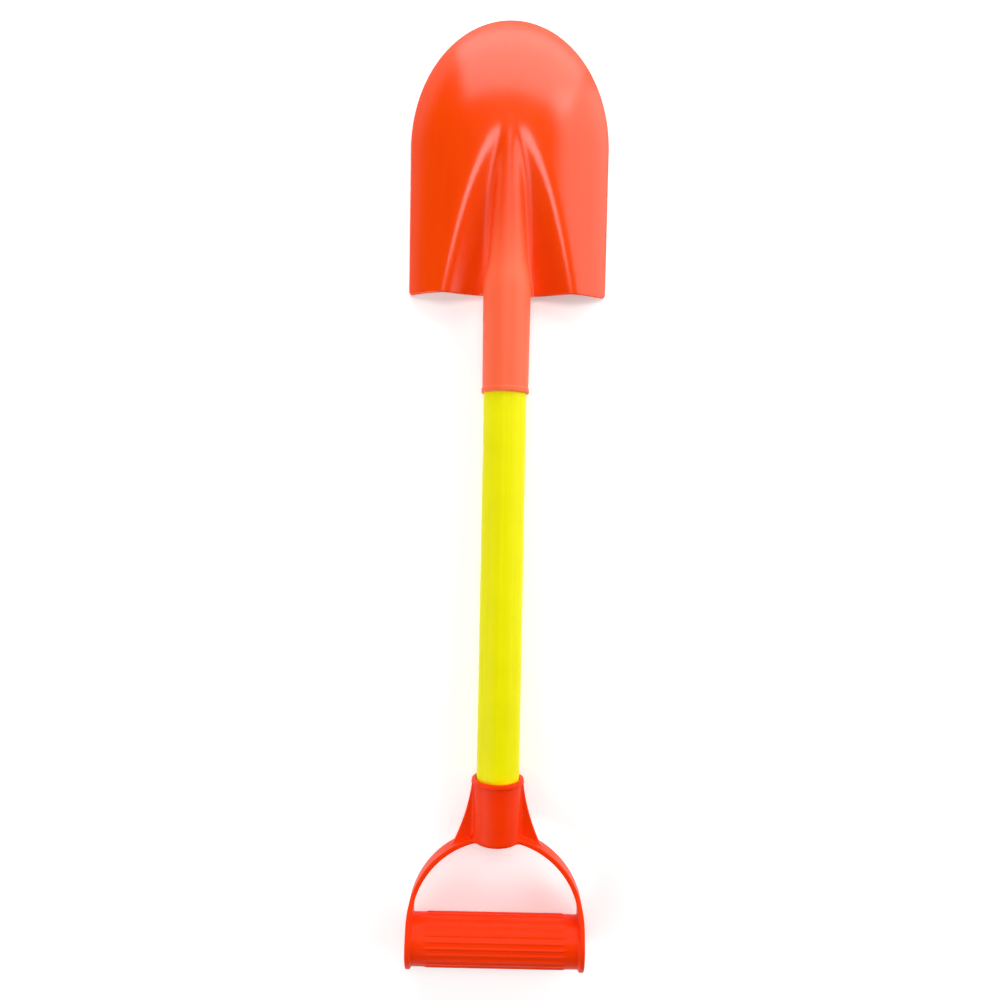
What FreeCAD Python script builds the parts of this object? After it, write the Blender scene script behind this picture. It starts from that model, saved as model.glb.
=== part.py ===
import FreeCAD, Part
import math
import os

# A child's sand shovel with a D-grip, lying on its open side on the ground.
#
# Three mouldings make it: a scoop blade with its socket, a plain tube, and a D-grip with its
# collar.  The tube is pressed into both sockets and stands on their floors.
#
# Frame, in millimetres: Z points up from the ground, Y runs from the grip to the tip of the
# blade, X runs across.  The origin is on the ground, under the middle of the whole shovel.
# Along the blade, u is the distance from its straight rear edge, the tread, to a point.

vec = FreeCAD.Vector

# Tube
tube_diameter = 25.0
tube_wall = 1.6
tube_length = 320.0
tube_fit = 0.15             # gap all round between the tube and the bore of a socket

# Blade, seen from above
blade_length = 168.0        # from the tread to the tip
tread_width = 118.5         # straight rear edge
blade_width = 120.0         # widest place, at the shoulder
shoulder_reach = 90.0       # from the tread to where the sides turn into the tip
tread_corner_radius = 2.5
blade_wall = 2.2            # wall of the sheet, measured straight down
rim_thickness = 1.8         # upright face of the rim; the rest of the wall there is its flat foot

# Blade, its dome and the valley that carries the ridge
dome_height = 20.0          # crown of the dome above the rim
valley_depth = 18.1         # below the crown, at the tread
valley_reach = 95.0         # from the tread to where the valley's floor comes up to the crown
valley_radius = 75.8        # round floor of the valley
crest_radius = 6.0          # rounding between the valley and the dome

# Socket of the blade, and the ridge that carries it into the blade
socket_length = 60.0        # depth of the bore, all of it behind the tread
socket_mouth_diameter = 27.0
socket_root_diameter = 28.0
socket_bead_diameter = 27.9
socket_bead_length = 3.0
bore_lead_in = 0.5          # chamfer at the mouth of a socket
ridge_width = 21.6          # where its flare ends
ridge_flare_length = 22.0
ridge_wall = 2.2
socket_floor = 2.4          # wall that the tube stands on

# D-grip: collar
collar_bore_depth = 34.5
collar_floor = 2.5
collar_diameter = 28.0
collar_rim_diameter = 30.5
collar_rim_length = 2.5
collar_end_radius = 2.0     # the closed end is rounded off in two slants

# D-grip: arch, end plates and bar
grip_width = 103.0          # over the outside of the arch
band_thickness = 2.8
band_depth = 13.0           # of the arch, along Z
hand_gap = 43.9             # from the floor of the collar to the bar
bar_diameter = 28.8
bar_wall = 2.2              # round the bore, which runs through the bar and both end plates
plate_diameter = 32.0       # round end of the arch beside the bar
plate_taper_length = 30.0   # from the axis of the bar to where the arch has its own depth
plate_taper_radius = 18.0

# D-grip: gussets between the collar and the arch
gusset_thickness = 3.5
gusset_top_width = 30.0     # over both gussets, under the rim of the collar
gusset_foot_width = 54.0    # over both gussets, where they run out on the arch
gusset_hollow = 1.8         # how far the outer edge curves in

# Places that follow from the sizes
axis_height = plate_diameter / 2
crown_height = rim_thickness + dome_height
nose_length = blade_length - shoulder_reach
bore_radius = tube_diameter / 2 + tube_fit
arch_radius = grip_width / 2
collar_length = collar_bore_depth + collar_floor
tube_showing = tube_length - socket_length - collar_bore_depth
axis_to_collar = hand_gap + bar_diameter / 2
overall_length = (
    blade_length + socket_length + tube_showing + collar_length + axis_to_collar + plate_diameter / 2
)
tip_y = overall_length / 2
tread_y = tip_y - blade_length
shoulder_y = tread_y + shoulder_reach
socket_mouth_y = tread_y - socket_length
collar_mouth_y = socket_mouth_y - tube_showing
collar_end_y = collar_mouth_y - collar_length
bar_y = collar_end_y - axis_to_collar
arch_center_y = collar_end_y + collar_floor * 2 - arch_radius
margin = 4.0                # cutting tools reach this far past what they cut


def arc_radius(half_chord, rise):
    """Radius of the arc that rises by this much over half its chord."""
    return (half_chord ** 2 + rise ** 2) / (2 * rise)


def dome():
    """All that lies under the blade's back: one arched section, run straight and then bent down."""
    radius = arc_radius(blade_width / 2, dome_height)
    reach = blade_width / 2 + margin
    foot = -blade_wall - 2 * margin
    side = crown_height - radius + math.sqrt(radius ** 2 - reach ** 2)
    left, right = vec(-reach, shoulder_y, side), vec(reach, shoulder_y, side)
    low_left, low_right = vec(-reach, shoulder_y, foot), vec(reach, shoulder_y, foot)
    edges = [
        Part.Arc(left, vec(0, shoulder_y, crown_height), right).toShape(),
        Part.makeLine(right, low_right),
        Part.makeLine(low_right, low_left),
        Part.makeLine(low_left, left),
    ]
    section = Part.Face(Part.Wire(edges))
    straight = section.extrude(vec(0, -shoulder_reach - margin, 0))
    bend_radius = arc_radius(nose_length, dome_height)
    bend = math.degrees(math.asin((nose_length + margin) / bend_radius))
    nose = section.revolve(vec(0, shoulder_y, crown_height - bend_radius), vec(1, 0, 0), -bend)
    return straight.fuse(nose)


def valley():
    """A round bar along the valley's rising floor; what it takes from the dome is the valley."""
    slope = math.atan(valley_depth / valley_reach)
    along = vec(0, math.cos(slope), math.sin(slope))
    upright = vec(0, -math.sin(slope), math.cos(slope))
    floor = vec(0, tread_y, crown_height - valley_depth)
    start = floor + upright * valley_radius - along * 2 * margin
    return Part.makeCylinder(valley_radius, (valley_reach + 4 * margin) / along.y, start, along)


def blade_back():
    """The dome with its valley, and the crest between them rounded."""
    back = dome().cut(valley())
    crests = [edge for edge in back.Edges if is_crest(edge)]
    return back.makeFillet(crest_radius, crests)


def is_crest(edge):
    """True for the edges that the valley's floor shares with the dome."""
    middle = edge.valueAt((edge.FirstParameter + edge.LastParameter) / 2)
    slope = math.atan(valley_depth / valley_reach)
    rise = middle.z - crown_height + valley_depth
    above_floor = rise * math.cos(slope) - (middle.y - tread_y) * math.sin(slope)
    off_axis = math.hypot(middle.x, above_floor - valley_radius)
    return abs(off_axis - valley_radius) < 0.01 and middle.y > tread_y - margin + 0.01


def outline_prism():
    """Everything inside the blade's outline: straight sides and a nose that is half an ellipse."""
    half_width = blade_width / 2
    low = -2 * margin
    round_nose = Part.Arc(vec(half_width, 0, low), vec(0, half_width, low), vec(-half_width, 0, low))
    stretch = FreeCAD.Matrix()
    stretch.A22 = nose_length / half_width
    stretch.A24 = shoulder_y
    nose = round_nose.toShape().transformGeometry(stretch)
    tread_left, tread_right = vec(-tread_width / 2, tread_y, low), vec(tread_width / 2, tread_y, low)
    left, right = vec(-half_width, shoulder_y, low), vec(half_width, shoulder_y, low)
    edges = [
        Part.makeLine(tread_left, tread_right),
        Part.makeLine(tread_right, right),
        nose,
        Part.makeLine(left, tread_left),
    ]
    prism = Part.Face(Part.Wire(edges)).extrude(vec(0, 0, 3 * axis_height))
    corners = [edge for edge in prism.Edges if is_upright(edge, tread_y)]
    return prism.makeFillet(tread_corner_radius, corners).toNurbs()


def is_upright(edge, y):
    first, last = edge.Vertexes[0].Point, edge.Vertexes[-1].Point
    return abs(first.y - y) < 0.01 and abs(last.y - y) < 0.01 and abs(first.z - last.z) > 1


def above_ground():
    size = 4 * blade_length
    return Part.makeBox(size, size, size, vec(-size / 2, tip_y - size + margin, 0))


def ridge_core(start, inset):
    """The ridge and all below it: a round back that flares to the socket, over upright walls."""
    root = socket_root_diameter / 2 - inset
    slender = ridge_width / 2 - inset
    run_out = crown_height - axis_height - inset
    taper = (slender - run_out) / (valley_reach - ridge_flare_length)
    end = valley_reach + margin
    tip = run_out - taper * margin
    foot_point = vec(0, tread_y + start, axis_height)
    side = vec(root, tread_y + start, axis_height)
    flare_end = vec(slender, tread_y + ridge_flare_length, axis_height)
    chord = flare_end - side
    bow = (math.atan2(root - slender, chord.y) - math.atan(taper)) / 2
    middle = side + chord / 2 - vec(chord.Length / 2 * math.tan(bow), 0, 0)
    tip_side = vec(tip, tread_y + end, axis_height)
    tip_point = vec(0, tread_y + end, axis_height)
    edges = [
        Part.makeLine(foot_point, side),
        Part.Arc(side, middle, flare_end).toShape(),
        Part.makeLine(flare_end, tip_side),
        Part.makeLine(tip_side, tip_point),
        Part.makeLine(tip_point, foot_point),
    ]
    half = Part.Face(Part.Wire(edges))
    back = half.revolve(foot_point, vec(0, 1, 0), -180)
    wall = half.extrude(vec(0, 0, -axis_height - margin))
    return back.fuse([wall, wall.mirror(vec(0, 0, 0), vec(1, 0, 0))])


def revolve_profile(points):
    """A body of revolution about the tube's axis, from (radius, y) pairs."""
    corners = [vec(radius, y, axis_height) for radius, y in points]
    wire = Part.makePolygon(corners + [corners[0]])
    return Part.Face(wire).revolve(vec(0, 0, axis_height), vec(0, 1, 0), 360)


def socket_bore(mouth_y, depth, into):
    """Room for the tube, with a lead-in chamfer; into is 1 towards the tip, -1 towards the grip."""
    return revolve_profile([
        (0, mouth_y - into * margin),
        (bore_radius + bore_lead_in, mouth_y - into * margin),
        (bore_radius + bore_lead_in, mouth_y),
        (bore_radius, mouth_y + into * bore_lead_in),
        (bore_radius, mouth_y + into * depth),
        (0, mouth_y + into * depth),
    ])


def shovel_blade():
    back = blade_back()
    below = back.copy()
    below.translate(vec(0, 0, -blade_wall))
    sheet = back.cut(below).common(outline_prism()).common(above_ground())
    ridge = ridge_core(0.0, 0.0).cut(below)
    bead_edge = (socket_bead_diameter - socket_mouth_diameter) / 2
    socket = revolve_profile([
        (0, socket_mouth_y),
        (socket_mouth_diameter / 2, socket_mouth_y),
        (socket_bead_diameter / 2, socket_mouth_y + bead_edge),
        (socket_bead_diameter / 2, socket_mouth_y + socket_bead_length - bead_edge),
        (socket_mouth_diameter / 2, socket_mouth_y + socket_bead_length),
        (socket_root_diameter / 2, tread_y),
        (0, tread_y),
    ])
    blade = sheet.fuse([ridge, socket])
    blade = blade.cut(socket_bore(socket_mouth_y, socket_length, 1))
    blade = blade.cut(ridge_core(socket_floor, ridge_wall))
    return blade.removeSplitter()


def handle_tube():
    start = vec(0, collar_mouth_y - collar_bore_depth, axis_height)
    direction = vec(0, 1, 0)
    outer = Part.makeCylinder(tube_diameter / 2, tube_length, start, direction)
    inner = Part.makeCylinder(tube_diameter / 2 - tube_wall, tube_length, start, direction)
    return outer.cut(inner)


def arch_face(radius):
    """The D seen from above, filled, down to the end of the plates."""
    low_y = bar_y - plate_diameter / 2 - margin
    right = vec(radius, arch_center_y, 0)
    top = vec(0, arch_center_y + radius, 0)
    left = vec(-radius, arch_center_y, 0)
    low_left = vec(-radius, low_y, 0)
    low_right = vec(radius, low_y, 0)
    edges = [
        Part.Arc(right, top, left).toShape(),
        Part.makeLine(left, low_left),
        Part.makeLine(low_left, low_right),
        Part.makeLine(low_right, right),
    ]
    return Part.Face(Part.Wire(edges))


def arch_band():
    """The arch and its round end plates: a D-shaped ring, trimmed to its outline from the side."""
    ring = arch_face(arch_radius).cut(arch_face(arch_radius - band_thickness))
    ring = ring.extrude(vec(0, 0, 2 * axis_height))
    return ring.common(side_outline())


def side_outline():
    """The band seen from the side: a round plate that tapers into the even depth of the arch."""
    radius = plate_diameter / 2
    half_depth = band_depth / 2
    taper_y = bar_y + plate_taper_length
    distance = math.hypot(plate_taper_length, half_depth)
    lean = math.atan2(half_depth, plate_taper_length)
    contact = lean + math.acos(radius / distance)
    touch_y = bar_y + radius * math.cos(contact)
    touch_z = radius * math.sin(contact)
    top_y = arch_center_y + arch_radius + margin
    x = -arch_radius - margin
    low = vec(x, bar_y - radius, axis_height)
    edges = [Part.Arc(vec(x, touch_y, axis_height - touch_z), low,
                      vec(x, touch_y, axis_height + touch_z)).toShape()]
    rim = [
        vec(x, touch_y, axis_height + touch_z),
        vec(x, taper_y, axis_height + half_depth),
        vec(x, top_y, axis_height + half_depth),
        vec(x, top_y, axis_height - half_depth),
        vec(x, taper_y, axis_height - half_depth),
        vec(x, touch_y, axis_height - touch_z),
    ]
    for first, last in zip(rim, rim[1:]):
        edges.append(Part.makeLine(first, last))
    prism = Part.Face(Part.Wire(edges)).extrude(vec(2 * (arch_radius + margin), 0, 0))
    bends = [edge for edge in prism.Edges if is_level(edge, taper_y)]
    return prism.makeFillet(plate_taper_radius, bends)


def is_level(edge, y):
    first, last = edge.Vertexes[0].Point, edge.Vertexes[-1].Point
    return abs(first.y - y) < 0.01 and abs(last.y - y) < 0.01 and abs(first.x - last.x) > 1


def round_bar(radius, half_length):
    start = vec(-half_length, bar_y, axis_height)
    return Part.makeCylinder(radius, 2 * half_length, start, vec(1, 0, 0))


def collar():
    """Cup that takes the tube, with a rim round its mouth and a closed, rounded end."""
    radius = collar_diameter / 2
    rim_radius = collar_rim_diameter / 2
    rim_edge = (rim_radius - radius) / 2
    slant = collar_end_radius * (1 - math.sqrt(0.5))
    return revolve_profile([
        (0, collar_mouth_y),
        (rim_radius - rim_edge, collar_mouth_y),
        (rim_radius, collar_mouth_y - rim_edge),
        (rim_radius, collar_mouth_y - collar_rim_length + rim_edge),
        (radius, collar_mouth_y - collar_rim_length),
        (radius, collar_end_y + collar_end_radius),
        (radius - slant, collar_end_y + slant),
        (radius - collar_end_radius, collar_end_y),
        (0, collar_end_y),
    ])


def gussets():
    """Webs in the middle plane that carry the collar's load out to the arch."""
    top_y = collar_mouth_y - collar_rim_length
    half_top = gusset_top_width / 2
    half_foot = gusset_foot_width / 2
    foot_y = arch_center_y + math.sqrt((arch_radius - band_thickness / 2) ** 2 - half_foot ** 2)
    low_y = arch_center_y
    z = axis_height - gusset_thickness / 2
    middle = vec((half_top + half_foot) / 2 - gusset_hollow, (top_y + foot_y) / 2, z)
    mirrored_middle = vec(-middle.x, middle.y, z)
    edges = [
        Part.makeLine(vec(-half_top, top_y, z), vec(half_top, top_y, z)),
        Part.Arc(vec(half_top, top_y, z), middle, vec(half_foot, foot_y, z)).toShape(),
        Part.makeLine(vec(half_foot, foot_y, z), vec(half_foot, low_y, z)),
        Part.makeLine(vec(half_foot, low_y, z), vec(-half_foot, low_y, z)),
        Part.makeLine(vec(-half_foot, low_y, z), vec(-half_foot, foot_y, z)),
        Part.Arc(vec(-half_foot, foot_y, z), mirrored_middle, vec(-half_top, top_y, z)).toShape(),
    ]
    web = Part.Face(Part.Wire(edges)).extrude(vec(0, 0, gusset_thickness))
    hand_room = arch_face(arch_radius - band_thickness / 2).extrude(vec(0, 0, 2 * axis_height))
    return web.cut(hand_room)


def d_grip():
    """One moulding; the bar is a tube that is open at both ends, where the mould's cores draw out."""
    bar = round_bar(bar_diameter / 2, arch_radius - band_thickness / 2)
    bar_bore = round_bar(bar_diameter / 2 - bar_wall, arch_radius + margin)
    grip = arch_band().fuse([bar, gussets(), collar()])
    grip = grip.cut([bar_bore, socket_bore(collar_mouth_y, collar_bore_depth, -1)])
    return grip.removeSplitter()


pieces = {
    "shovel_blade": shovel_blade,
    "handle_tube": handle_tube,
    "d_grip": d_grip,
}

os.makedirs("parts", exist_ok=True)
for name, make in pieces.items():
    shape = make()
    box = shape.optimalBoundingBox(True, False)
    print(f"{name}: {len(shape.Solids)} solid, valid {shape.isValid()}, {shape.Volume / 1000:.1f} cm3, "
          f"x {box.XMin:.1f}..{box.XMax:.1f} y {box.YMin:.1f}..{box.YMax:.1f} z {box.ZMin:.1f}..{box.ZMax:.1f}")
    shape.exportStep(os.path.join("parts", name + ".step"))
print(f"overall length {overall_length:.1f}, visible tube {tube_showing:.1f}")
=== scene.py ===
# %% [markdown]
# # A child's sand shovel with a D-grip
#
# The shovel is three pieces of plastic pushed together: a blade and a grip that are injection
# mouldings, and a plain extruded tube between them. It lies on the open side of its blade, and the
# camera looks straight down on it.
#
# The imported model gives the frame. Everything below is drawn in the same place and size, in metres,
# and the exact solids stay underneath for collision.

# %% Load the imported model
import math

import bpy
import numpy as np
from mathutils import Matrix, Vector


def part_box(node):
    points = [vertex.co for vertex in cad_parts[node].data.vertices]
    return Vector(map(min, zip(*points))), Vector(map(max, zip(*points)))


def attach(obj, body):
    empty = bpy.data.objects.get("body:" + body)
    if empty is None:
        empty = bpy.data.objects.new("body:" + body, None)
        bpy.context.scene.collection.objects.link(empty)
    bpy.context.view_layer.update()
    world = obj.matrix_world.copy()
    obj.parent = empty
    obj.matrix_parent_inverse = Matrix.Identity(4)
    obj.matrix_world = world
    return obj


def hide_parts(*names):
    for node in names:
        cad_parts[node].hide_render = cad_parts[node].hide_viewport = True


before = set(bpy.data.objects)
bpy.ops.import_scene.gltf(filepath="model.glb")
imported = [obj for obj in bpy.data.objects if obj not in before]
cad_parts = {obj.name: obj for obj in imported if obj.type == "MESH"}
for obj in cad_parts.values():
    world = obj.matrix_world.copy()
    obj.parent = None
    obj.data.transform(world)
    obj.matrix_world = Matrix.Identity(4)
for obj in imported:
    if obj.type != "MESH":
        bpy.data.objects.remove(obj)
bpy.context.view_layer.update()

print("nodes:", sorted(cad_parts))

# %% [markdown]
# ## Camera
#
# The photograph was taken from about half a metre above the tube. From that close, high parts look
# larger than low ones, so the distance matters as much as the lens. Both were worked out from the
# ellipses of the two socket mouths. The camera was held a little askew, which its turns repeat.

# %% Camera and colour management
scene = bpy.context.scene
scene.view_settings.view_transform = "Standard"
camera_place = (-0.0001, -0.009, 0.508)
camera_turns = (0.1, 0.2, 1.09)


def add_object(name, data):
    """A new object in the scene, at the origin, with this mesh, lamp or camera."""
    thing = bpy.data.objects.new(name, data)
    scene.collection.objects.link(thing)
    return thing


camera_data = bpy.data.cameras.new("camera")
camera_data.lens = 30.15
camera_data.sensor_width = 36.0
camera_data.clip_start = 0.01
camera = add_object("camera", camera_data)
camera.location = camera_place
camera.rotation_euler = [math.radians(turn) for turn in camera_turns]
scene.camera = camera
print("camera height in mm:", round(1000 * camera.location.z, 1))

# %% [markdown]
# ## Colours
#
# Plastic colours are written down as sRGB hex values, as a designer would note them. Blender's
# sockets expect linear light, so one function turns the one into the other.

# %% Colour helper
def linear(hex_colour):
    """An sRGB hex colour as linear red, green, blue and an alpha of 1."""
    channels = [int(hex_colour[i:i + 2], 16) / 255 for i in (1, 3, 5)]
    return [c / 12.92 if c <= 0.04045 else ((c + 0.055) / 1.055) ** 2.4 for c in channels] + [1.0]


print("linear orange:", [round(c, 3) for c in linear("#FD4A00")])

# %% [markdown]
# ## Adding nodes
#
# Materials and Geometry Nodes trees are both graphs of nodes. One small helper adds a node, sets its
# properties and fills its inputs. An input that is given a socket is linked to it, and any other
# value is written on the input itself.

# %% Node helper
def add_node(tree, kind, inputs=(), **properties):
    """Adds a node to a tree; inputs maps a socket's name or number to a value or to another socket."""
    node = tree.nodes.new(kind)
    for name, value in properties.items():
        setattr(node, name, value)
    for key, value in dict(inputs).items():
        if isinstance(value, bpy.types.NodeSocket):
            tree.links.new(value, node.inputs[key])
        else:
            node.inputs[key].default_value = value
    return node


# %% Scale of a pattern, and an empty material
mm = 0.001


def per_mm(size):
    """The scale of a pattern on Object coordinates, in metres, whose features are this many mm apart."""
    return 1000.0 / size


def new_material(name):
    """A material with an empty Principled shader, and its tree, shader and Object coordinates."""
    material = bpy.data.materials.new(name)
    material.use_nodes = True
    tree = material.node_tree
    tree.nodes.clear()
    output = add_node(tree, "ShaderNodeOutputMaterial")
    shader = add_node(tree, "ShaderNodeBsdfPrincipled")
    tree.links.new(shader.outputs["BSDF"], output.inputs["Surface"])
    place = add_node(tree, "ShaderNodeTexCoord").outputs["Object"]
    return material, tree, shader, place


print("scale of a pattern of 1 mm:", per_mm(1))

# %% [markdown]
# ## Moulded polypropylene
#
# The blade and the grip are injection-moulded polypropylene. The melt runs into a steel mould whose
# finely blasted face leaves a soft, semi-gloss grain. The pigment isn't perfectly even, and where
# the melt flowed along the ridge it leaves faint, long streaks. The walls are strongly pigmented, so
# no light shines through them. The IOR of polypropylene is 1.49. The grip's mould is blasted
# coarser, for a better hold, so it shines less than the blade.

# %% Orange polypropylene
# Sizes of the patterns in mm. The blasted grain is about 0.1 mm in truth, and is drawn coarser so
# that it shows. The peel is the slow waviness of a moulded skin.
grain_size, grain_depth = 0.45, 0.1
peel_size, peel_depth = 7.0, 0.4
bump_strength = 0.05


def moulded_polypropylene(name, base, deep, streak_scale, smoothest, roughest, shine):
    """Moulded plastic: two near shades in flow streaks, with a fine blasted grain."""
    material, tree, shader, place = new_material(name)
    stretched = add_node(tree, "ShaderNodeMapping", {"Vector": place, "Scale": streak_scale})
    flow = add_node(tree, "ShaderNodeTexNoise", {"Vector": stretched.outputs[0], "Scale": 1.0,
                                                "Detail": 4.0, "Roughness": 0.55})
    shade = add_node(tree, "ShaderNodeMix", {0: flow.outputs["Fac"], 6: linear(deep), 7: linear(base)},
                     data_type="RGBA")
    tree.links.new(shade.outputs[2], shader.inputs["Base Color"])
    grain = add_node(tree, "ShaderNodeTexNoise", {"Vector": place, "Scale": per_mm(grain_size),
                                                 "Detail": 3.0})
    peel = add_node(tree, "ShaderNodeTexNoise", {"Vector": place, "Scale": per_mm(peel_size),
                                                "Detail": 2.0})
    fine = add_node(tree, "ShaderNodeBump", {"Height": grain.outputs["Fac"], "Strength": bump_strength,
                                            "Distance": grain_depth * mm})
    bump = add_node(tree, "ShaderNodeBump", {"Height": peel.outputs["Fac"], "Strength": bump_strength,
                                            "Distance": peel_depth * mm, "Normal": fine.outputs[0]})
    tree.links.new(bump.outputs[0], shader.inputs["Normal"])
    gloss = add_node(tree, "ShaderNodeMapRange", {"Value": peel.outputs["Fac"], "To Min": smoothest,
                                                 "To Max": roughest})
    tree.links.new(gloss.outputs[0], shader.inputs["Roughness"])
    shader.inputs["IOR"].default_value = 1.49
    shader.inputs["Specular IOR Level"].default_value = shine
    return material


along_blade = (per_mm(9), per_mm(70), per_mm(9))
around_grip = (per_mm(40), per_mm(14), per_mm(14))
blade_plastic = moulded_polypropylene("blade_polypropylene", "#FD4A00", "#F44000", along_blade,
                                      smoothest=0.19, roughest=0.25, shine=0.5)
grip_plastic = moulded_polypropylene("grip_polypropylene", "#FC3B00", "#F43200", around_grip,
                                     smoothest=0.34, roughest=0.44, shine=0.12)
print("moulded materials:", blade_plastic.name, grip_plastic.name)

# %% [markdown]
# ## Matt socket and ridge, with a painted sheen
#
# The socket and the ridge look duller and paler than the wings of the blade, though they are the
# same moulding. A mould can be left rougher in one place than in another, and a rougher face
# scatters more white light, so there the roughness is raised. The paleness is painted: a lighter
# orange is mixed into the colour as a painted sheen where the lamps' highlight would fall. A second
# material would end in a hard line, so one mask is laid over the blade's own: it is full close to
# the shovel's axis and fades out to the sides and towards the tip. It raises the roughness as far as
# the end of the ridge, and paints the sheen into the colour only up to its middle.

# %% Matt finish and painted sheen
# In mm. The last three are distances from the blade's rear edge, which lies at tread_y.
axis_height, tread_y = 16.0, 114.4
matt_half_width, matt_end_half_width, matt_taper_length, matt_blur = 15.0, 8.5, 95.0, 3.5
matt_full, matt_gone, sheen_gone = 30.0, 110.0, 55.0


def matt_and_painted_sheen(material, roughness, pale):
    """Dulls the finish round the axis to the ridge's end, and paints a paler sheen into the colour."""
    tree = material.node_tree
    shader = tree.nodes["Principled BSDF"]
    glossy = shader.inputs["Roughness"].links[0].from_socket
    colour = shader.inputs["Base Color"].links[0].from_socket
    place = add_node(tree, "ShaderNodeTexCoord").outputs["Object"]
    across = add_node(tree, "ShaderNodeMapping", {"Vector": place, "Scale": (1.0, 0.0, 1.0),
                                                 "Location": (0.0, 0.0, -axis_height * mm)})
    off_axis = add_node(tree, "ShaderNodeVectorMath", {0: across.outputs[0]}, operation="LENGTH")
    along = add_node(tree, "ShaderNodeSeparateXYZ", {0: place}).outputs["Y"]
    edge = add_node(tree, "ShaderNodeMapRange", {
        "Value": along, "From Min": tread_y * mm, "From Max": (tread_y + matt_taper_length) * mm,
        "To Min": matt_half_width * mm, "To Max": matt_end_half_width * mm})
    outside = add_node(tree, "ShaderNodeMath", {0: off_axis.outputs["Value"], 1: edge.outputs[0]},
                       operation="SUBTRACT")
    near = add_node(tree, "ShaderNodeMapRange", {"Value": outside.outputs[0], "From Max": 0.0,
                                                "From Min": matt_blur * mm},
                    interpolation_type="SMOOTHSTEP")
    ends = [(matt_gone, matt_full), (sheen_gone, 0.0)]
    rears = [add_node(tree, "ShaderNodeMapRange", {"Value": along, "From Min": (tread_y + gone) * mm,
                                                  "From Max": (tread_y + full) * mm},
                      interpolation_type="SMOOTHSTEP") for gone, full in ends]
    # The second mask paints a sheen: it mixes a paler orange into the colour where a highlight would be.
    matt, painted_sheen = [add_node(tree, "ShaderNodeMath", {0: near.outputs[0], 1: rear.outputs[0]},
                            operation="MULTIPLY").outputs[0] for rear in rears]
    finish = add_node(tree, "ShaderNodeMix", {0: matt, 2: glossy, 3: roughness}, data_type="FLOAT")
    tree.links.new(finish.outputs[0], shader.inputs["Roughness"])
    shade = add_node(tree, "ShaderNodeMix", {0: painted_sheen, 6: colour, 7: linear(pale)}, data_type="RGBA")
    tree.links.new(shade.outputs[2], shader.inputs["Base Color"])


# FF6236 is the painted sheen: a paler orange that stands in for the lamps' highlight on the socket.
matt_and_painted_sheen(blade_plastic, roughness=0.5, pale="#FF6236")
print("nodes of the blade's material:", len(blade_plastic.node_tree.nodes))

# %% [markdown]
# ## Extruded tube
#
# The tube is pulled from a round die, so every tiny nick of the die draws a line along its whole
# length. Noise that is stretched along Y and narrow across gives those die lines. The surface is
# satin, a little duller than the mouldings, and the yellow is dense and clean.

# %% Yellow extruded plastic
# Sizes of the patterns in mm: the die lines, how deep they are, and the slow clouds of the pigment.
die_line_width, die_line_length, die_line_depth, cloud_size = 0.9, 160, 0.2, 25
die_line_strength = 0.10
# The colour runs from the deep shade to the base as the two noises multiplied rise between these.
noise_low, noise_high = 0.12, 0.40
die_line_scale = (per_mm(die_line_width), per_mm(die_line_length), per_mm(die_line_width))


def extruded_plastic(name, base, deep, smoothest, roughest, shine):
    """Satin extruded plastic with long, faint die lines."""
    material, tree, shader, place = new_material(name)
    lines = add_node(tree, "ShaderNodeMapping", {"Vector": place, "Scale": die_line_scale})
    die = add_node(tree, "ShaderNodeTexNoise", {"Vector": lines.outputs[0], "Scale": 1.0, "Detail": 3.0})
    cloud = add_node(tree, "ShaderNodeTexNoise", {"Vector": place, "Scale": per_mm(cloud_size),
                                                 "Detail": 3.0})
    both = add_node(tree, "ShaderNodeMath", {0: die.outputs["Fac"], 1: cloud.outputs["Fac"]},
                    operation="MULTIPLY")
    strength = add_node(tree, "ShaderNodeMapRange", {"Value": both.outputs[0], "From Min": noise_low,
                                                    "From Max": noise_high})
    shade = add_node(tree, "ShaderNodeMix", {0: strength.outputs[0], 6: linear(deep), 7: linear(base)},
                     data_type="RGBA")
    tree.links.new(shade.outputs[2], shader.inputs["Base Color"])
    bump = add_node(tree, "ShaderNodeBump", {"Height": die.outputs["Fac"], "Distance": die_line_depth * mm,
                                            "Strength": die_line_strength})
    tree.links.new(bump.outputs[0], shader.inputs["Normal"])
    gloss = add_node(tree, "ShaderNodeMapRange", {"Value": cloud.outputs["Fac"], "To Min": smoothest,
                                                 "To Max": roughest})
    tree.links.new(gloss.outputs[0], shader.inputs["Roughness"])
    shader.inputs["IOR"].default_value = 1.5
    shader.inputs["Specular IOR Level"].default_value = shine
    return material


tube_plastic = extruded_plastic("tube_extruded_plastic", "#F2ED00", "#EBE400",
                                smoothest=0.38, roughest=0.50, shine=0.1)
print("extruded material:", tube_plastic.name)

# %% [markdown]
# ## Shapes from distances
#
# A moulding has no sharp inside corners: where two forms meet, the mould maker cuts a fillet. A
# handy way to draw that is a distance function, which says for any point how far it lies outside
# (plus) or inside (minus) the form. Taking the smaller of two distances joins two forms, and a
# smooth minimum joins them with a fillet. The mesh is then the skin where the distance is 0.
#
# All distances and sizes in these cells are in millimetres, as on a drawing.

# %% Join, cut and round
def join(a, b, fillet):
    """Both forms, with a fillet between them whose bend starts and ends gently, so it shows no line."""
    # It starts where the distances differ by 1.5 fillets, and is a quarter of one deep in the middle.
    share = np.maximum(1 - np.abs(a - b) / (1.5 * fillet), 0)
    return np.minimum(a, b) - share ** 3 * fillet / 4


def cut(a, b, fillet):
    """What is in form a and outside form b, with the edge between them softened."""
    return -join(-a, b, fillet)


def keep(a, b, radius):
    """What is in both forms; the edge between them is rounded with this radius."""
    corner = np.hypot(np.maximum(a + radius, 0), np.maximum(b + radius, 0))
    return np.minimum(np.maximum(a, b), -radius) + corner


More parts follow.
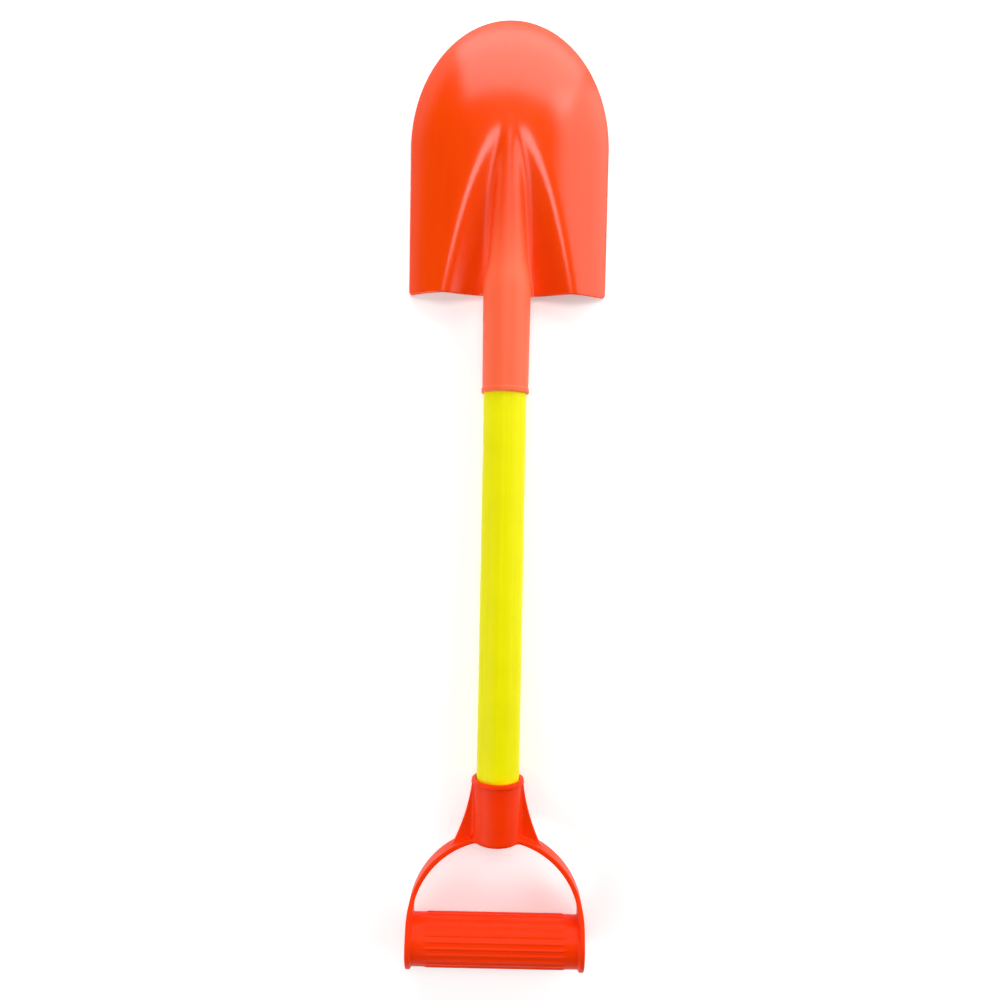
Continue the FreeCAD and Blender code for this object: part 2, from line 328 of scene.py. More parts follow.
def smooth_step(value):
    """0 up to 0, 1 from 1 on, and a soft rise between them."""
    value = np.clip(value, 0, 1)
    return value * value * (3 - 2 * value)


print("fillet of two equal distances:", float(join(np.float64(0), np.float64(0), 2.0)), "mm")

# %% [markdown]
# ## From distances to a mesh
#
# The distance is worked out on a grid, which is finer where a wall is thin. Each grid cell that the
# surface passes through gets one corner of the mesh, and each grid edge that it crosses gets one
# face. Then every corner slides along the slope of the distance until it lies exactly on the
# surface. That slope is also the exact normal there, which keeps reflections smooth.

# %% Lines of the grid
def grid_lines(low, high, step, fine_step=None, fine_spans=()):
    """Grid positions from low to high at an even step, and at a finer step inside the spans."""
    lines, place = [low], low
    while place < high:
        fine = any(start <= place < end for start, end in fine_spans)
        place += fine_step if fine else step
        lines.append(place)
    return np.array(lines)


print("lines from 0 to 10 mm, finer in the middle:", len(grid_lines(0, 10, 1.0, 0.5, [(4, 6)])))


# %% Skin a distance function
def cell_points(values, cells):
    """One point in each cell: the mean of the places where the surface crosses the cell's edges."""
    total, crossings = np.zeros((len(cells), 3)), np.zeros(len(cells))
    for start in np.ndindex(2, 2, 2):
        for axis in range(3):
            if start[axis]:
                continue
            end = [start[k] + (k == axis) for k in range(3)]
            first = values[tuple((cells + start).T)]
            last = values[tuple((cells + end).T)]
            crosses = (first < 0) != (last < 0)
            share = np.where(crosses, first / np.where(crosses, first - last, 1), 0)
            point = np.array(start, float) + share[:, None] * (np.arange(3) == axis)
            total += point * crosses[:, None]
            crossings += crosses
    return cells + total / crossings[:, None]


def cell_faces(inside, number):
    """One four-sided face round each grid edge that the surface crosses, turned outwards."""
    faces = []
    for axis in range(3):
        before = inside.take(range(inside.shape[axis] - 1), axis)
        after = inside.take(range(1, inside.shape[axis]), axis)
        edges = np.argwhere(before != after)
        side, other = [(np.arange(3) == (axis + k) % 3).astype(int) for k in (1, 2)]
        ring = [edges, edges - side, edges - side - other, edges - other]
        quads = np.stack([number[tuple(corner.T)] for corner in ring], axis=1)
        outward = before[tuple(edges.T)]
        faces.append(np.where(outward[:, None], quads, quads[:, ::-1]))
    return np.concatenate(faces)


def skin(distance, axes):
    """Corners and faces of the surface where distance is 0, on the grid of these three axes."""
    values = distance(axes[0][:, None, None], axes[1][None, :, None], axes[2][None, None, :])
    inside = values < 0
    cell_shape = [n - 1 for n in inside.shape]
    filled = np.zeros(cell_shape, np.int8)
    for a, b, c in np.ndindex(2, 2, 2):
        filled += inside[a:a + cell_shape[0], b:b + cell_shape[1], c:c + cell_shape[2]]
    cells = np.argwhere((filled > 0) & (filled < 8))
    spots = cell_points(values, cells)
    points = np.stack([np.interp(spots[:, k], np.arange(len(axes[k])), axes[k]) for k in range(3)],
                      axis=1)
    number = np.full(cell_shape, -1)
    number[tuple(cells.T)] = np.arange(len(cells))
    return points, cell_faces(inside, number)


# %% Slide the corners onto the surface
def slope(distance, points, reach=0.02):
    """The direction in which the distance grows fastest, and how fast, at each point."""
    steps = np.eye(3) * reach
    return np.stack([(distance(*(points + step).T) - distance(*(points - step).T)) / (2 * reach)
                     for step in steps], axis=1)


def settle(distance, points, rounds=4, flattest=0.05, longest_move=0.4):
    """Slides points onto the surface; returns them and the surface's normals."""
    for _ in range(rounds):
        rise = slope(distance, points)
        steepness = np.maximum((rise ** 2).sum(axis=1), flattest)
        move = np.clip(distance(*points.T) / steepness, -longest_move, longest_move)
        points = points - rise * move[:, None]
    rise = slope(distance, points)
    return points, rise / np.linalg.norm(rise, axis=1)[:, None]


# %% Make a moulded piece
def moulding(name, distance, axes, material):
    """A mesh piece, in metres, of the surface where distance, in millimetres, is 0."""
    points, faces = skin(distance, axes)
    points, normals = settle(distance, points)
    mesh = bpy.data.meshes.new(name)
    mesh.from_pydata(points * mm, [], faces)
    mesh.validate()
    mesh.polygons.foreach_set("use_smooth", [True] * len(mesh.polygons))
    mesh.normals_split_custom_set_from_vertices(normals.tolist())
    mesh.materials.append(material)
    print(name, "has", 2 * len(mesh.polygons), "triangles")
    return add_object(name, mesh)


# %% [markdown]
# ## The blade
#
# The blade is one arched section, run straight from the rear edge and then bent down to the tip. A
# round valley rises along its middle, and the two meet in a rounded, arch-shaped crest. A ridge runs
# on from the socket and sinks into the valley. From above, all of it is a height over the ground,
# so the sheet is the space between that height and the same height less the wall.

# %% Sizes of the blade
blade_length, shoulder_reach, tread_width, blade_width = 168.0, 90.0, 118.5, 120.0
blade_wall, rim_thickness, dome_height = 2.2, 1.8, 20.0
valley_depth, valley_reach, valley_radius = 18.1, 95.0, 75.8
crest_radius, crest_softness = 9.0, 0.8
crown = rim_thickness + dome_height
nose_length = blade_length - shoulder_reach
section_radius = ((blade_width / 2) ** 2 + dome_height ** 2) / (2 * dome_height)
bend_radius = (nose_length ** 2 + dome_height ** 2) / (2 * dome_height)
print("radius of the blade's section:", section_radius, "and of its bend:", round(bend_radius, 1))


# %% Height of the blade's back
# Past these half widths, which lie outside the blade, both arcs stay level so their roots stay real.
dome_limit, valley_limit = 80.0, 70.0
tiny_step = 0.05


def dome(x, u):
    """The arched back without its valley; u is the distance from the rear edge."""
    fall = section_radius - np.sqrt(section_radius ** 2 - np.minimum(np.abs(x), dome_limit) ** 2)
    past = np.maximum(u - shoulder_reach, 0)
    return crown - bend_radius + np.sqrt((bend_radius - fall) ** 2 - past ** 2)


def valley(x, u):
    """The round floor that rises from the rear edge to the crown."""
    rise = math.atan(valley_depth / valley_reach)
    side = valley_radius - np.sqrt(valley_radius ** 2 - np.minimum(np.abs(x), valley_limit) ** 2)
    return crown - valley_depth + u * math.tan(rise) + side / math.cos(rise)


def back_height(x, u):
    """Dome and valley, joined by a crest of an even rounding."""
    high, low = dome(x, u), valley(x, u)
    turn_x = (dome(x + tiny_step, u) - valley(x + tiny_step, u) - high + low) / tiny_step
    turn_u = (dome(x, u + tiny_step) - valley(x, u + tiny_step) - high + low) / tiny_step
    return join(high, low, crest_radius * (turn_x ** 2 + turn_u ** 2) / 2 + crest_softness)


print("height at the rear edge, in the middle and on the crest:",
      [round(float(back_height(np.float64(x), np.float64(0.0))), 1) for x in (0.0, 38.0)])

# %% [markdown]
# ## Socket and ridge
#
# The socket is a cup for the tube. Past the rear edge its round back runs on as the ridge, flares
# out of the socket and tapers until the crown takes it in. Below, the ridge is hollow, because thick
# plastic would shrink and sink as it cools.

# %% Sizes of the socket and the ridge
socket_length, mouth_radius, root_radius = 60.0, 13.5, 14.0
bead_height, bead_length, bead_inset, bead_slope = 0.45, 3.0, 0.5, 0.8
bore_radius, lead_in = 12.65, 0.5
ridge_radius, ridge_wall, socket_floor = 10.8, 2.2, 2.4
flare_length, flare_fade, level_fade = 22.0, 13.0, 9.0
run_out_length, run_out_rate = 9.0, 0.0005
taper = (ridge_radius - (crown - axis_height)) / (valley_reach - flare_length)


def round_radius(u):
    """Radius of the socket, and past the rear edge of the ridge."""
    socket = root_radius + (root_radius - mouth_radius) * u / socket_length
    bead_way = (u + socket_length - bead_length + bead_inset) / bead_slope
    bead = bead_height * (1 - smooth_step(bead_way))
    cone = ridge_radius - (u - flare_length) * taper
    flare = (root_radius - ridge_radius - flare_length * taper) * np.exp(-(u / flare_fade) ** 2)
    level_start = taper * u * np.exp(-(u / level_fade) ** 2)
    run_out = run_out_rate * np.maximum(u - valley_reach + run_out_length, 0) ** 3
    return np.where(u < 0, socket + bead, cone + flare + level_start - run_out)


print("ridge radius at 10, 40 and 80 mm:",
      [round(float(round_radius(np.float64(u))), 1) for u in (10, 40, 80)])


# %% Distance to the outline
corner_rounding = 2.5
# Floors that keep the nose's divisions finite in the middle of the blade, far from its edge.
least_reach, least_steepness = 0.01, 0.005


def outline_distance(x, u):
    """How far a point lies outside the blade's outline, seen from above."""
    ratio = np.clip(u, 0, shoulder_reach) / shoulder_reach
    side = np.abs(x) - (tread_width + (blade_width - tread_width) * ratio) / 2
    past = np.maximum(u - shoulder_reach, 0)
    half = blade_width / 2
    reach = np.hypot(x / half, past / nose_length)
    steep = np.hypot(x / half ** 2, past / nose_length ** 2) / np.maximum(reach, least_reach)
    nose = (reach - 1) / np.maximum(steep, least_steepness)
    return keep(np.where(u < shoulder_reach, side, nose), -u, corner_rounding)


print("a point 50 mm off the axis lies inside the outline by",
      round(-float(outline_distance(np.float64(50.0), np.float64(50.0))), 1), "mm")


# %% Distance to the blade
rim_rounding, under_rounding, hollow_rounding = 0.7, 0.3, 0.6
# The fillet at the foot of the ridge gets smaller towards its end.
foot_fillet, foot_fillet_loss, foot_change_start, foot_change_length = 5.0, 2.0, 60, 35


def blade_distance(x, y, z):
    """How far a point lies outside the blade and its ridge, in mm."""
    u = y - tread_y
    top = back_height(x, u)
    lean_x = (back_height(x + tiny_step, u) - top) / tiny_step
    lean_u = (back_height(x, u + tiny_step) - top) / tiny_step
    upright = 1 / np.sqrt(1 + lean_x ** 2 + lean_u ** 2)
    above = (z - top) * upright
    below = (top - blade_wall - z) * upright
    outline = outline_distance(x, u)

    back = np.hypot(x, np.maximum(z - axis_height, 0)) - round_radius(u)
    ridge = np.maximum(np.maximum(back, below), -u)
    foot = foot_fillet - foot_fillet_loss * smooth_step((u - foot_change_start) / foot_change_length)
    sheet = keep(above, outline, rim_rounding)
    form = np.maximum(np.maximum(join(sheet, ridge, foot), outline), -z)
    form = keep(form, below, under_rounding)
    return cut(form, np.maximum(back + ridge_wall, socket_floor - u), hollow_rounding)


# %% Make the blade
low, high = 1000 * np.array(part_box("shovel_blade"))
margin, blade_step, height_step = 1, 0.95, 0.75
ridge_step, ridge_span = 0.6, (-15, 15)
edge_step, edge_span = 0.5, (tread_y - margin, tread_y + 4)
blade_grid = [grid_lines(low[0] - margin, high[0] + margin, blade_step, ridge_step, [ridge_span]),
              grid_lines(tread_y - margin, high[1] + margin, blade_step, edge_step, [edge_span]),
              grid_lines(low[2] - margin, high[2] + margin, height_step)]
blade = moulding("blade_moulding", blade_distance, blade_grid, blade_plastic)
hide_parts("shovel_blade")
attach(blade, "root")

# %% [markdown]
# ## Round pieces
#
# The socket's cup and the tube are round, so each is a closed section turned round the shovel's
# axis. That keeps their thin walls exact, where a grid would need very small steps.

# %% Turn a section round the axis
sharp_angle = math.radians(50)


def ring_faces(count, around):
    """Faces that join each closed section of count points to the next one, all the way round."""
    faces = []
    for step in range(around):
        near, far = step * count, (step + 1) % around * count
        faces += [(near + k, near + (k + 1) % count, far + (k + 1) % count, far + k)
                  for k in range(count)]
    return faces


def shade_smooth(mesh):
    """Smooth shading that leaves edges sharp where the surface bends by more than sharp_angle."""
    mesh.polygons.foreach_set("use_smooth", [True] * len(mesh.polygons))
    mesh.set_sharp_from_angle(angle=sharp_angle)


def turned_piece(name, section, material, around=192):
    """A mesh piece from a closed section of (radius, y) in mm, turned round the shovel's axis."""
    corners = []
    for step in range(around):
        turn = 2 * math.pi * step / around
        corners += [(radius * math.cos(turn) / 1000, y / 1000,
                     (axis_height + radius * math.sin(turn)) / 1000) for radius, y in section]
    mesh = bpy.data.meshes.new(name)
    mesh.from_pydata(corners, [], ring_faces(len(section), around))
    shade_smooth(mesh)
    mesh.materials.append(material)
    print(name, "has", len(mesh.polygons), "faces")
    return add_object(name, mesh)


# %% [markdown]
# ## The socket's cup
#
# The cup is part of the blade's moulding and goes into it without a line. It has a bead round its
# mouth, which keeps the thin edge from splitting when the tube is pressed in, and a small lead-in.

# %% Make the socket's cup
mouth_y = tread_y - socket_length
edge_radius, edge_parts = 0.4, 4
bead_radius = float(round_radius(np.float64(-socket_length)))
edge_turns = [math.pi / 2 * k / edge_parts for k in range(edge_parts + 1)]
cup_section = [(bead_radius - edge_radius * (1 - math.sin(turn)),
                mouth_y + edge_radius * (1 - math.cos(turn))) for turn in edge_turns]
# Rings of points, as distances from the rear edge: close together where the bead ends. Past the
# edge the cup laps over the ridge by 1 mm, and stands proud of it by a hundredth.
bead_run = [-59.0, -58.2, -57.6, -57.3, -57.0, -56.7, -56.4, -56.0, -55.0]
cup_run = bead_run + list(np.linspace(-52, -4, 13)) + [-2.0, -1.0, 0.0]
lap_run, lap_rise = (0.5, 1.0), 0.01
cup_section += [(float(round_radius(np.float64(u))), tread_y + u) for u in cup_run]
cup_section += [(float(round_radius(np.float64(u))) + lap_rise, tread_y + u) for u in lap_run]
cup_section += [(bore_radius, tread_y + lap_run[-1]), (bore_radius, mouth_y + lead_in),
                (bore_radius + lead_in, mouth_y)]
cup = turned_piece("socket_cup", cup_section, blade_plastic)
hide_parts("shovel_blade")
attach(cup, "root")

# %% [markdown]
# ## The tube
#
# The tube is a plain pipe with its cut edges eased. It stands on the floors of both sockets.

# %% Make the tube
tube_low, tube_high = 1000 * np.array(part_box("handle_tube"))
tube_radius, tube_wall, ease = 12.5, 1.6, 0.3
end_inset, rings = 10, 31
tube_section = [(tube_radius - ease, tube_low[1]), (tube_radius, tube_low[1] + ease)]
tube_section += [(tube_radius, y)
                 for y in np.linspace(tube_low[1] + end_inset, tube_high[1] - end_inset, rings)]
tube_section += [(tube_radius, tube_high[1] - ease), (tube_radius - ease, tube_high[1]),
                 (tube_radius - tube_wall, tube_high[1]), (tube_radius - tube_wall, tube_low[1])]
tube = turned_piece("tube_extrusion", tube_section, tube_plastic)
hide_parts("handle_tube")
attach(tube, "root")

# %% [markdown]
# ## The grip's frame
#
# Arch, end plates, gussets and collar are one moulding too. Seen from above the arch is a D of an
# even, thin band; seen from the side the band is 13 mm deep and grows into a round plate at each end
# of the bar. The collar is a cup with a rim, and two flat gussets carry it.

# %% Sizes of the grip
grip_width, band_thickness, band_depth = 103.0, 2.8, 13.0
bar_radius, bar_wall, bar_y = 14.4, 2.2, -266.4
plate_radius, taper_length, taper_rounding = 16.0, 30.0, 18.0
collar_mouth, collar_end, collar_radius, rim_radius, rim_length = -171.1, -208.1, 14.0, 15.25, 2.5
collar_bore_depth, collar_end_radius, collar_in_arch = 34.5, 2.4, 5.0
gusset_thickness, gusset_top, gusset_foot, gusset_hollow = 3.5, 15.0, 27.0, 1.8
arch_radius = grip_width / 2
arch_y = collar_end + collar_in_arch - arch_radius
print("middle of the arch in mm:", arch_y)


# %% Distance to the arch and its plates
arch_rounding = 0.7


def arch_distance(y, z, out):
    """How far a point lies outside the arch and its end plates; out is its distance from the middle."""
    band = np.abs(out - arch_radius + band_thickness / 2) - band_thickness / 2
    half_depth = band_depth / 2
    lean = math.atan2(half_depth, taper_length)
    contact = lean + math.acos(plate_radius / math.hypot(taper_length, half_depth))
    touch_y, touch_z = bar_y + plate_radius * math.cos(contact), plate_radius * math.sin(contact)
    fall = (touch_z - half_depth) / (bar_y + taper_length - touch_y)
    tapered = half_depth + fall * (bar_y + taper_length - y)
    depth = -join(-tapered, np.full_like(tapered, -half_depth), taper_rounding * fall ** 2 / 2)
    plate = np.hypot(y - bar_y, z - axis_height) - plate_radius
    side = np.where(y > touch_y, (np.abs(z - axis_height) - depth) / math.hypot(1, fall), plate)
    return keep(band, side, arch_rounding)


# %% Distance to the gussets
gusset_slant, gusset_rounding = 0.94, 0.6


def gusset_distance(x, y, z, out):
    """How far a point lies outside the two flat webs beside the collar, whose edges are hollow."""
    foot_y = arch_y + math.sqrt((arch_radius - band_thickness / 2) ** 2 - gusset_foot ** 2)
    top_y = collar_mouth - rim_length
    down = np.clip((top_y - y) / (top_y - foot_y), 0, 1)
    edge = gusset_top + (gusset_foot - gusset_top) * down - 4 * gusset_hollow * down * (1 - down)
    web = np.maximum((np.abs(x) - edge) * gusset_slant, arch_radius - band_thickness / 2 - out)
    web = np.maximum(web, y - top_y)
    return keep(web, np.abs(z - axis_height) - gusset_thickness / 2, gusset_rounding)


# %% Distance to the grip's frame
# The cup ends a little below the mouth, so that the rim alone rounds it. The bar's bore is cut a
# little narrower in the end plates than in the bar, so the two never share a face.
grip_fillet, rim_fillet = 1.6, 0.8
cup_below_mouth, collar_rim_rounding = 0.5, 0.5
bore_step, bore_rounding = 0.05, 0.3


def frame_distance(x, y, z):
    """How far a point lies outside the arch, plates, gussets and collar, in mm."""
    out = np.where(y > arch_y, np.hypot(x, y - arch_y), np.abs(x))
    around = np.hypot(x, z - axis_height)
    cup = keep(around - collar_radius, collar_end - y, collar_end_radius)
    cup = np.maximum(cup, y - collar_mouth + cup_below_mouth)
    rim = keep(around - rim_radius, np.abs(y - collar_mouth + rim_length / 2) - rim_length / 2,
               collar_rim_rounding)
    form = join(arch_distance(y, z, out), gusset_distance(x, y, z, out), grip_fillet)
    form = join(form, join(cup, rim, rim_fillet), grip_fillet)
    into = collar_mouth - y
    opening = bore_radius + lead_in * np.clip(1 - into / lead_in, 0, 1)
    form = np.maximum(form, -np.maximum(around - opening, into - collar_bore_depth))
    bar_bore = np.hypot(y - bar_y, z - axis_height) - (bar_radius - bar_wall) + bore_step
    return cut(form, bar_bore, bore_rounding)


# %% Make the grip's frame
low, high = 1000 * np.array(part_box("d_grip"))
grip_step = 0.55
frame_grid = [grid_lines(low[k] - margin, high[k] + margin, grip_step) for k in range(3)]
grip_frame = moulding("grip_frame", frame_distance, frame_grid, grip_plastic)
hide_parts("d_grip")
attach(grip_frame, "root")

# %% [markdown]
# ## The grip's bar
#
# The bar is a round tube, open at both ends, because the mould forms its inside with two cores that
# draw out sideways. Its plain shape is a ring of points carried along X: outwards over the skin and
# back through the bore. Each outer point also stores how far round it lies, for the grooves.

# %% Plain bar
bar_lap, bar_flare = 0.4, 1.3
bar_clear = arch_radius - band_thickness
bar_half = bar_clear + bar_lap
skin_rings, bore_rings, flare_run = 61, 9, (0, 0.15, 0.35, 0.6, 0.9, 1.3)


def bar_mesh(name, around=520):
    """A round tube along X that flares a little into the end plates, in metres."""
    outer_run = sorted(set(np.linspace(-bar_half, bar_half, skin_rings))
                       | {side * (bar_clear - d) for side in (-1, 1) for d in flare_run})
    section = []
    for x in outer_run:
        near = min(max(abs(x) - bar_clear + bar_flare, 0), bar_flare)
        section.append((x, bar_radius + bar_flare - math.sqrt(bar_flare ** 2 - near ** 2), 1))
    section += [(x, bar_radius - bar_wall, 0) for x in np.linspace(bar_half, -bar_half, bore_rings)]
    corners, ways = [], []
    for step in range(around):
        turn = 2 * math.pi * step / around
        for x, radius, is_outer in section:
            corners.append((x / 1000, (bar_y + radius * math.cos(turn)) / 1000,
                            (axis_height + radius * math.sin(turn)) / 1000))
            ways.append(turn if is_outer else -1.0)
    mesh = bpy.data.meshes.new(name)
    mesh.from_pydata(corners, [], ring_faces(len(section), around))
    mesh.attributes.new("way_round", "FLOAT", "POINT").data.foreach_set("value", ways)
    return mesh


bar = add_object("grip_bar", bar_mesh("grip_bar"))
print("plain bar:", len(bar.data.vertices), "points")

# %% [markdown]
# ## Grooves by rule
#
# Fine grooves run along the bar so that a wet hand doesn't slip. There are 26 of them, evenly spaced
# round the bar, and they fade out before the end plates. That is a rule, so Geometry Nodes make
# them: each outer point moves inwards by a wave of its way round. A power of the wave makes the
# grooves narrow and the lands between them wide.

# %% Tree of the grooves
def groove_tree():
    """Moves outer points inwards in even waves that fade out before both ends."""
    tree = bpy.data.node_groups.new("bar_grooves", "GeometryNodeTree")
    tree.interface.new_socket("Geometry", in_out="INPUT", socket_type="NodeSocketGeometry")
    kinds = dict.fromkeys(("Count", "Depth", "Half Length", "Fade", "Narrowness"), "NodeSocketFloat")
    kinds["Material"] = "NodeSocketMaterial"
    sockets = {name: tree.interface.new_socket(name, in_out="INPUT", socket_type=kind)
               for name, kind in kinds.items()}
    tree.interface.new_socket("Geometry", in_out="OUTPUT", socket_type="NodeSocketGeometry")
    given = add_node(tree, "NodeGroupInput").outputs
    way = add_node(tree, "GeometryNodeInputNamedAttribute", {"Name": "way_round"}, data_type="FLOAT")
    angle = add_node(tree, "ShaderNodeMath", {0: way.outputs[0], 1: given["Count"]}, operation="MULTIPLY")
    wave = add_node(tree, "ShaderNodeMath", {0: angle.outputs[0]}, operation="COSINE")
    lifted = add_node(tree, "ShaderNodeMapRange", {"Value": wave.outputs[0], "From Min": -1.0})
    narrow = add_node(tree, "ShaderNodeMath", {0: lifted.outputs[0], 1: given["Narrowness"]},
                      operation="POWER")
    place = add_node(tree, "GeometryNodeInputPosition")
    split = add_node(tree, "ShaderNodeSeparateXYZ", {0: place.outputs[0]})
    off_middle = add_node(tree, "ShaderNodeMath", {0: split.outputs[0]}, operation="ABSOLUTE")
    to_end = add_node(tree, "ShaderNodeMath", {0: given["Half Length"], 1: off_middle.outputs[0]},
                      operation="SUBTRACT")
    fade = add_node(tree, "ShaderNodeMath", {0: to_end.outputs[0], 1: given["Fade"]}, operation="DIVIDE")
    soft = add_node(tree, "ShaderNodeMapRange", {"Value": fade.outputs[0]},
                    interpolation_type="SMOOTHSTEP")
    deep = add_node(tree, "ShaderNodeMath", {0: narrow.outputs[0], 1: soft.outputs[0]},
                    operation="MULTIPLY")
    depth = add_node(tree, "ShaderNodeMath", {0: deep.outputs[0], 1: given["Depth"]},
                     operation="MULTIPLY")
    inward = add_node(tree, "ShaderNodeMath", {0: depth.outputs[0], 1: -1.0}, operation="MULTIPLY")
    normal = add_node(tree, "GeometryNodeInputNormal")
    shift = add_node(tree, "ShaderNodeVectorMath", {0: normal.outputs[0], "Scale": inward.outputs[0]},
                     operation="SCALE")
    # Points of the bore store -1, so they stay where they are.
    outer = add_node(tree, "FunctionNodeCompare", {0: way.outputs[0], 1: -0.5}, operation="GREATER_THAN")
    moved = add_node(tree, "GeometryNodeSetPosition", {"Geometry": given["Geometry"],
                                                      "Selection": outer.outputs[0],
                                                      "Offset": shift.outputs[0]})
    real = add_node(tree, "GeometryNodeRealizeInstances", {0: moved.outputs[0]})
    dressed = add_node(tree, "GeometryNodeSetMaterial", {"Geometry": real.outputs[0],
                                                        "Material": given["Material"]})
    add_node(tree, "NodeGroupOutput", {0: dressed.outputs[0]})
    return tree, sockets


grooves, groove_sockets = groove_tree()
print("nodes that make the grooves:", len(grooves.nodes))


# %% Cut the grooves
def run_nodes(piece, tree, sockets, values):
    """Runs a Geometry Nodes tree on a piece with these inputs and keeps the result as a plain mesh."""
    modifier = piece.modifiers.new(tree.name, "NODES")
    modifier.node_group = tree
    for name, value in values.items():
        modifier[sockets[name].identifier] = value
    bpy.context.view_layer.update()
    evaluated = piece.evaluated_get(bpy.context.evaluated_depsgraph_get())
    mesh = bpy.data.meshes.new_from_object(evaluated)
    piece.modifiers.remove(modifier)
    piece.data = mesh
    print(piece.name, "has", len(mesh.polygons), "faces after", tree.name)


run_nodes(bar, grooves, groove_sockets, {"Count": 26.0, "Depth": 0.00042, "Half Length": 0.0412,
                                         "Fade": 0.0016, "Narrowness": 3.0, "Material": grip_plastic})
shade_smooth(bar.data)
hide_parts("d_grip")
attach(bar, "root")

# %% [markdown]
# ## Floor
#
# A white sheet of card lies under the shovel. The card reflects a little less than all the light, so
# to the camera and in reflections a faint glow lifts it to plain white. The glow is not light: it
# doesn't reach the shovel's diffuse colour, and the soft shadow on the card stays. Far from the
# shovel the lamps hardly reach the card, so there the glow rises until it is all that is seen.

# %% White card
# Distances from the middle of the card, in metres, and how strong the glow is there. The card's
# fibres are much finer in truth. Here they are 0.8 mm, a little over one pixel of the render.
glow_near, glow_near_strength = 0.45, 0.28
glow_far, glow_far_strength = 1.2, 1.0
fibre_size = 0.8
white = (1.0, 1.0, 1.0, 1.0)


def seen_rays(tree):
    """Two sockets: 1 for the camera's own rays, and 1 for rays that were mirrored or let through."""
    path = add_node(tree, "ShaderNodeLightPath").outputs
    mirrored = add_node(tree, "ShaderNodeMath", {0: path["Is Glossy Ray"], 1: path["Is Transmission Ray"]},
                        operation="MAXIMUM")
    return path["Is Camera Ray"], mirrored.outputs[0]


def white_card():
    """Matte card with a fine fibre, lifted to white where a camera or a glossy surface sees it."""
    material, tree, shader, place = new_material("white_card")
    fibres = add_node(tree, "ShaderNodeTexNoise", {"Vector": place, "Scale": per_mm(fibre_size),
                                                  "Detail": 4.0})
    shade = add_node(tree, "ShaderNodeMix", {0: fibres.outputs["Fac"], 6: linear("#FBFBFB"),
                                            7: linear("#FFFFFF")}, data_type="RGBA")
    tree.links.new(shade.outputs[2], shader.inputs["Base Color"])
    shader.inputs["Roughness"].default_value = 0.95
    shader.inputs["Specular IOR Level"].default_value = 0.1
    direct, mirrored = seen_rays(tree)
    seen = add_node(tree, "ShaderNodeMath", {0: direct, 1: mirrored}, operation="MAXIMUM")
    away = add_node(tree, "ShaderNodeVectorMath", {0: place}, operation="LENGTH")
    glow = add_node(tree, "ShaderNodeMapRange", {
        "Value": away.outputs["Value"], "From Min": glow_near, "From Max": glow_far,
        "To Min": glow_near_strength, "To Max": glow_far_strength}, interpolation_type="SMOOTHSTEP")
    lift = add_node(tree, "ShaderNodeMath", {0: seen.outputs[0], 1: glow.outputs[0]},
                    operation="MULTIPLY")
    tree.links.new(lift.outputs[0], shader.inputs["Emission Strength"])
    shader.inputs["Emission Color"].default_value = white
    return material


# %% Lay the card
card_edge, card_top = 3.0, -0.0004
card_mesh = bpy.data.meshes.new("card")
card_mesh.from_pydata([(card_edge * x, card_edge * y, card_top)
                       for x, y in ((-1, -1), (1, -1), (1, 1), (-1, 1))], [], [(0, 1, 2, 3)])
card_mesh.materials.append(white_card())
card = add_object("card", card_mesh)
print("card below the shovel in mm:", -1000 * card_top)

# %% [markdown]
# ## Light
#
# The mouldings are semi-gloss, so where the lamps stand matters more than how strong they are: a
# face that mirrors a lamp looks pale, and one that mirrors the dark room shows its pure colour. Two
# large, low windows stand to the right and beyond the tip, so the right wing and the tip are pale.
# The soft box hangs where only the socket and the start of the ridge mirror it. The fills stand where
# no broad face mirrors them: they open the shadows and leave the valley and the grip deep orange.

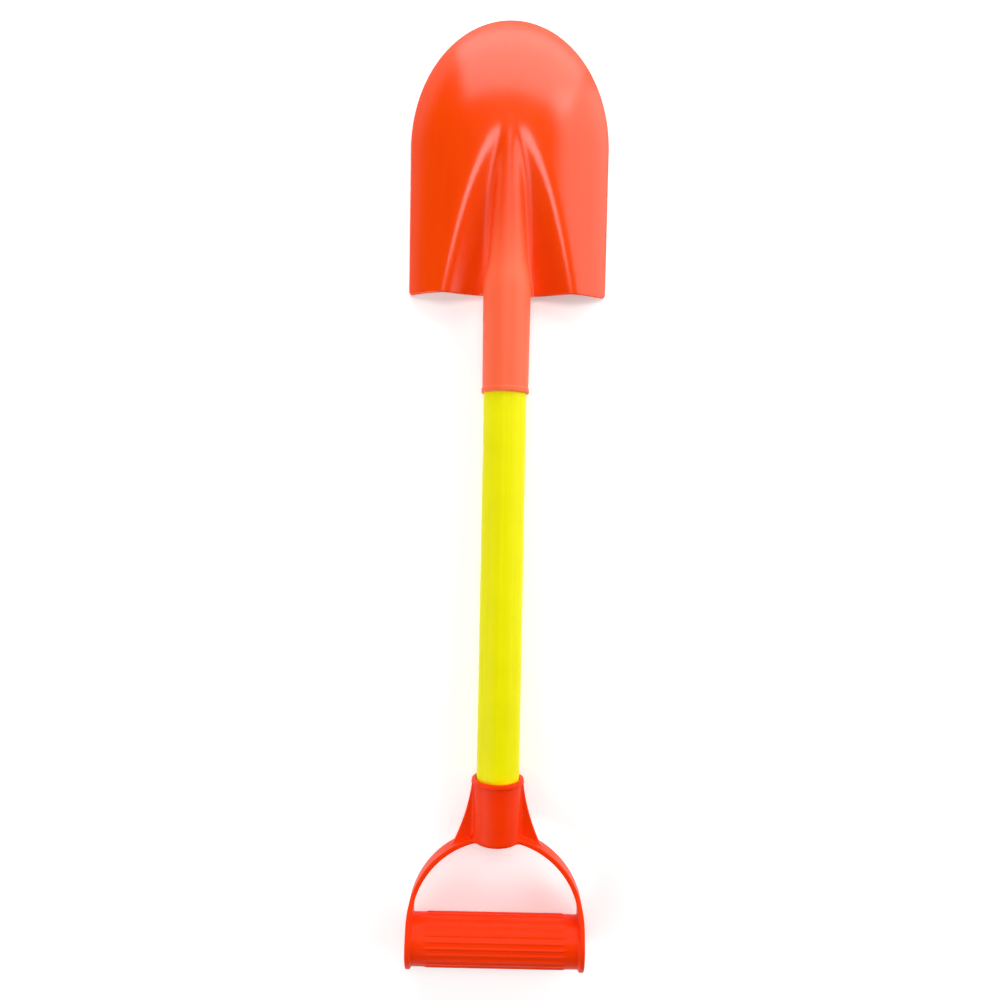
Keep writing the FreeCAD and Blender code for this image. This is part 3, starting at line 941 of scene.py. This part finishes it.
# %% Lamps
def soft_lamp(name, place, aim, size, watts):
    """A rectangular soft lamp at a place, facing a point of the shovel, in metres."""
    data = bpy.data.lights.new(name, "AREA")
    data.shape = "RECTANGLE"
    data.size, data.size_y = size
    data.energy = watts
    lamp = add_object(name, data)
    lamp.location = place
    lamp.rotation_euler = (Vector(aim) - Vector(place)).to_track_quat("-Z", "Y").to_euler()
    print(name, "of", watts, "watts")


blade_middle, blade_edge, shovel_middle = (0.0, 0.2, 0.0), (0.0, 0.1, 0.0), (0.0, 0.0, 0.0)
soft_lamp("right_window", (1.05, 0.35, 0.55), blade_middle, (1.9, 0.98), 13.4)
soft_lamp("tip_window", (0.12, 1.35, 0.58), blade_middle, (1.7, 0.85), 15.2)
soft_lamp("soft_box", (0.0, 0.50, 1.3), blade_edge, (0.55, 0.50), 5.4)
soft_lamp("back_fill", (-0.75, -0.95, 0.95), shovel_middle, (1.0, 1.0), 5.2)
soft_lamp("left_fill", (-1.2, -0.4, 0.6), blade_edge, (0.9, 0.6), 7.4)

# %% [markdown]
# ## Room
#
# The room is dim, so that it doesn't wash the orange out. To the camera it is plain white from every
# side. In reflections only a band low round the horizon is white, as a studio's cove is: if more of
# it were white, the left wing would mirror it and turn pale.

# %% Dim room with a white horizon
band_top, band_full, room_level = 18, 15, 0.01


def studio_world():
    """A dim room, white to the camera, with a white band low round the horizon for reflections."""
    world = bpy.data.worlds.new("studio")
    world.use_nodes = True
    tree = world.node_tree
    direct, mirrored = seen_rays(tree)
    way = add_node(tree, "ShaderNodeTexCoord").outputs["Generated"]
    height = add_node(tree, "ShaderNodeSeparateXYZ", {0: way}).outputs["Z"]
    band = add_node(tree, "ShaderNodeMapRange", {
        "Value": height, "From Min": math.sin(math.radians(band_top)),
        "From Max": math.sin(math.radians(band_full))}, interpolation_type="SMOOTHSTEP")
    cove = add_node(tree, "ShaderNodeMath", {0: mirrored, 1: band.outputs[0]}, operation="MULTIPLY")
    lift = add_node(tree, "ShaderNodeMath", {0: direct, 1: cove.outputs[0]}, operation="MAXIMUM")
    strength = add_node(tree, "ShaderNodeMath", {0: lift.outputs[0], 1: room_level}, operation="MAXIMUM")
    sky = tree.nodes["Background"]
    sky.inputs["Color"].default_value = white
    tree.links.new(strength.outputs[0], sky.inputs["Strength"])
    return world


scene.world = studio_world()
print("world:", scene.world.name)
